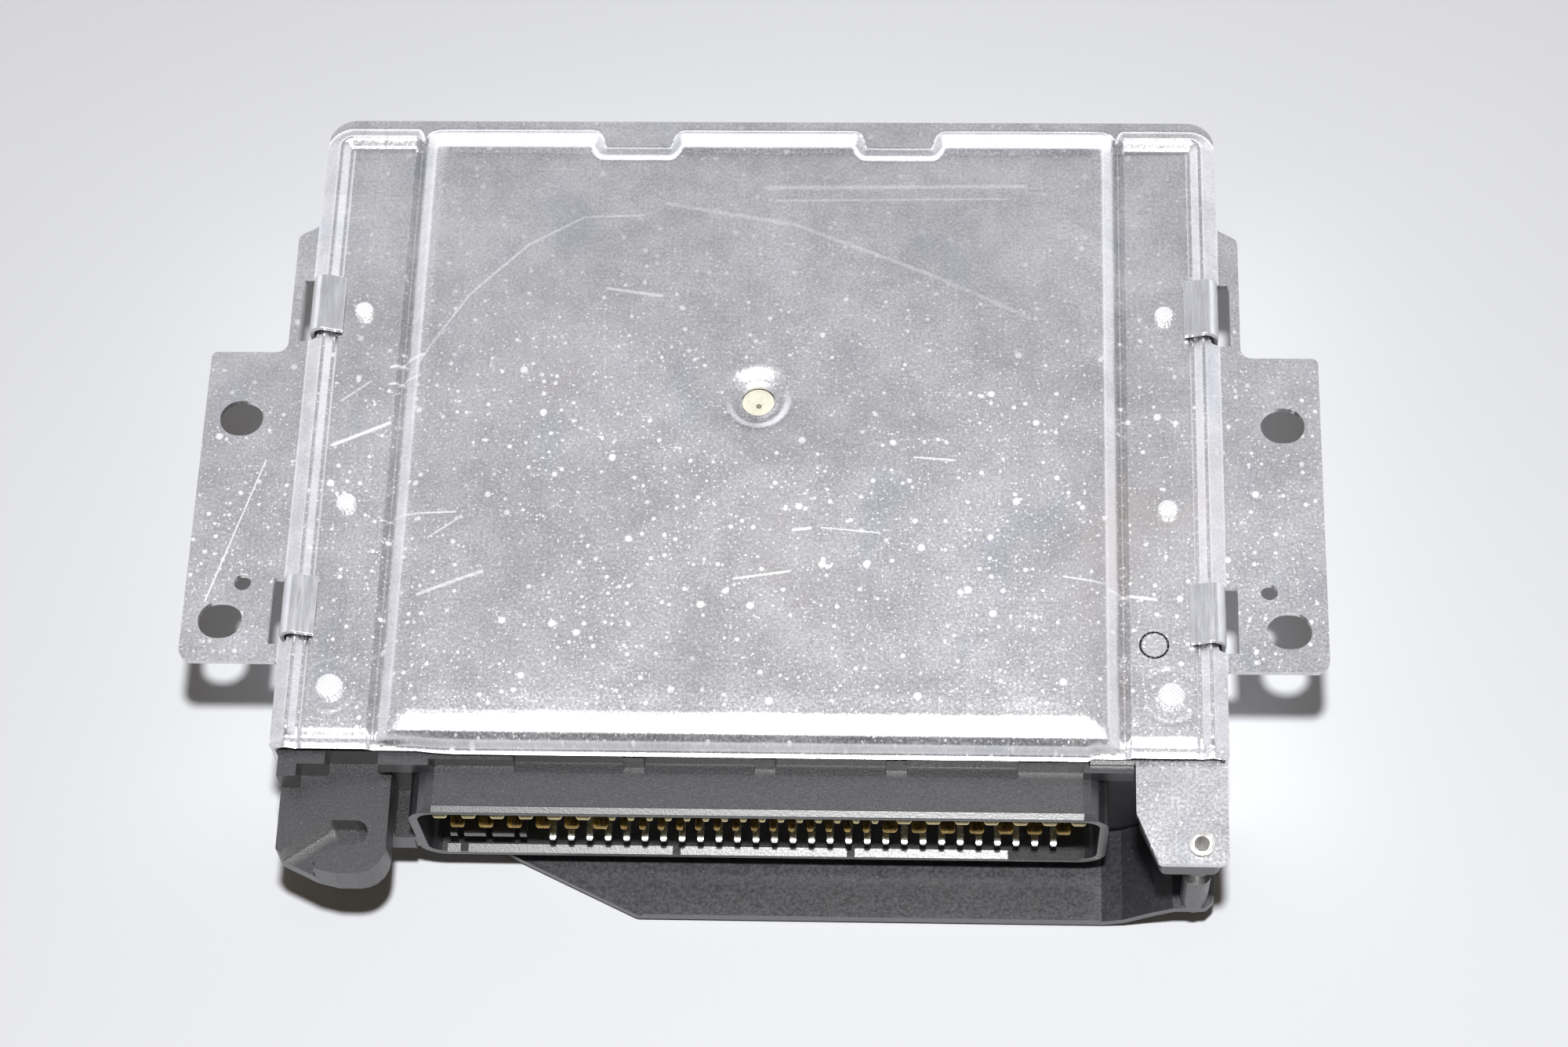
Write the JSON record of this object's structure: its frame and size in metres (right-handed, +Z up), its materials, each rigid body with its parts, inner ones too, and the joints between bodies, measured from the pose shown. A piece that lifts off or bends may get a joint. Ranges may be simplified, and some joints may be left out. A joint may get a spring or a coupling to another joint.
{
  "type": "engine control unit",
  "caption": "Pressed aluminium engine control case with slotted fixing ears, crimped-on cover and a wide black plug header with rows of contacts along its front",
  "frame": {"origin": "middle of the footprint, on the surface that the case lies on", "axes": "+X runs across the plug face, +Y from the plug face to the back of the case, +Z up from the plain lower shell to the mounting cover"},
  "size_m": [0.1994, 0.1474, 0.04],
  "materials": {
    "cover_aluminium": "satin mill finish, scratched",
    "shell_aluminium": "satin mill finish",
    "rail_aluminium": "extruded, plain",
    "rivet_aluminium": "bright, plain",
    "spring_steel": "bright",
    "header_plastic": "moulded, finely speckled",
    "guard_plastic": "moulded, satin",
    "contact_metal": "gold and tin plated",
    "gasket_rubber": "matt",
    "board_laminate": "lacquered laminate",
    "chip_epoxy": "moulded epoxy",
    "capacitor_sleeve": "shrink sleeve",
    "choke_lacquer": "lacquered wire",
    "cream_plastic": "moulded"
  },
  "bodies": {
    "root": {"mounting_cover": "cover_aluminium", "case_shell": "shell_aluminium", "cover_gasket": "gasket_rubber", "connector_housing": "header_plastic", "connector_guard": "guard_plastic", "contact_row_upper": "contact_metal", "contact_row_middle": "contact_metal", "contact_row_lower": "contact_metal", "hinge_plate": "shell_aluminium", "hinge_eyelet": "rivet_aluminium", "heat_rail_left": "rail_aluminium", "heat_rail_right": "rail_aluminium", "transistor_clip_left": "spring_steel", "transistor_clip_right": "spring_steel", "circuit_board": "board_laminate", "processor": "chip_epoxy", "memory_socket": "chip_epoxy", "memory_chip": "chip_epoxy", "driver_chip_1": "chip_epoxy", "driver_chip_2": "chip_epoxy", "driver_chip_3": "chip_epoxy", "filter_capacitor_1": "capacitor_sleeve", "filter_capacitor_2": "capacitor_sleeve", "filter_capacitor_3": "capacitor_sleeve", "filter_capacitor_4": "capacitor_sleeve", "crystal_can": "spring_steel", "choke_ring": "choke_lacquer", "pressure_sensor": "cream_plastic", "rail_rivet_1": "rivet_aluminium", "rail_rivet_2": "rivet_aluminium", "rail_rivet_3": "rivet_aluminium", "rail_rivet_4": "rivet_aluminium", "rail_rivet_5": "rivet_aluminium", "rail_rivet_6": "rivet_aluminium", "power_transistor_1": "chip_epoxy", "power_transistor_2": "chip_epoxy", "power_transistor_3": "chip_epoxy", "power_transistor_4": "chip_epoxy", "power_transistor_5": "chip_epoxy", "power_transistor_6": "chip_epoxy", "power_transistor_7": "chip_epoxy", "power_transistor_8": "chip_epoxy", "board_screw_1": "spring_steel", "board_screw_2": "spring_steel", "board_screw_3": "spring_steel", "board_screw_4": "spring_steel"}
  },
  "joints": []
}
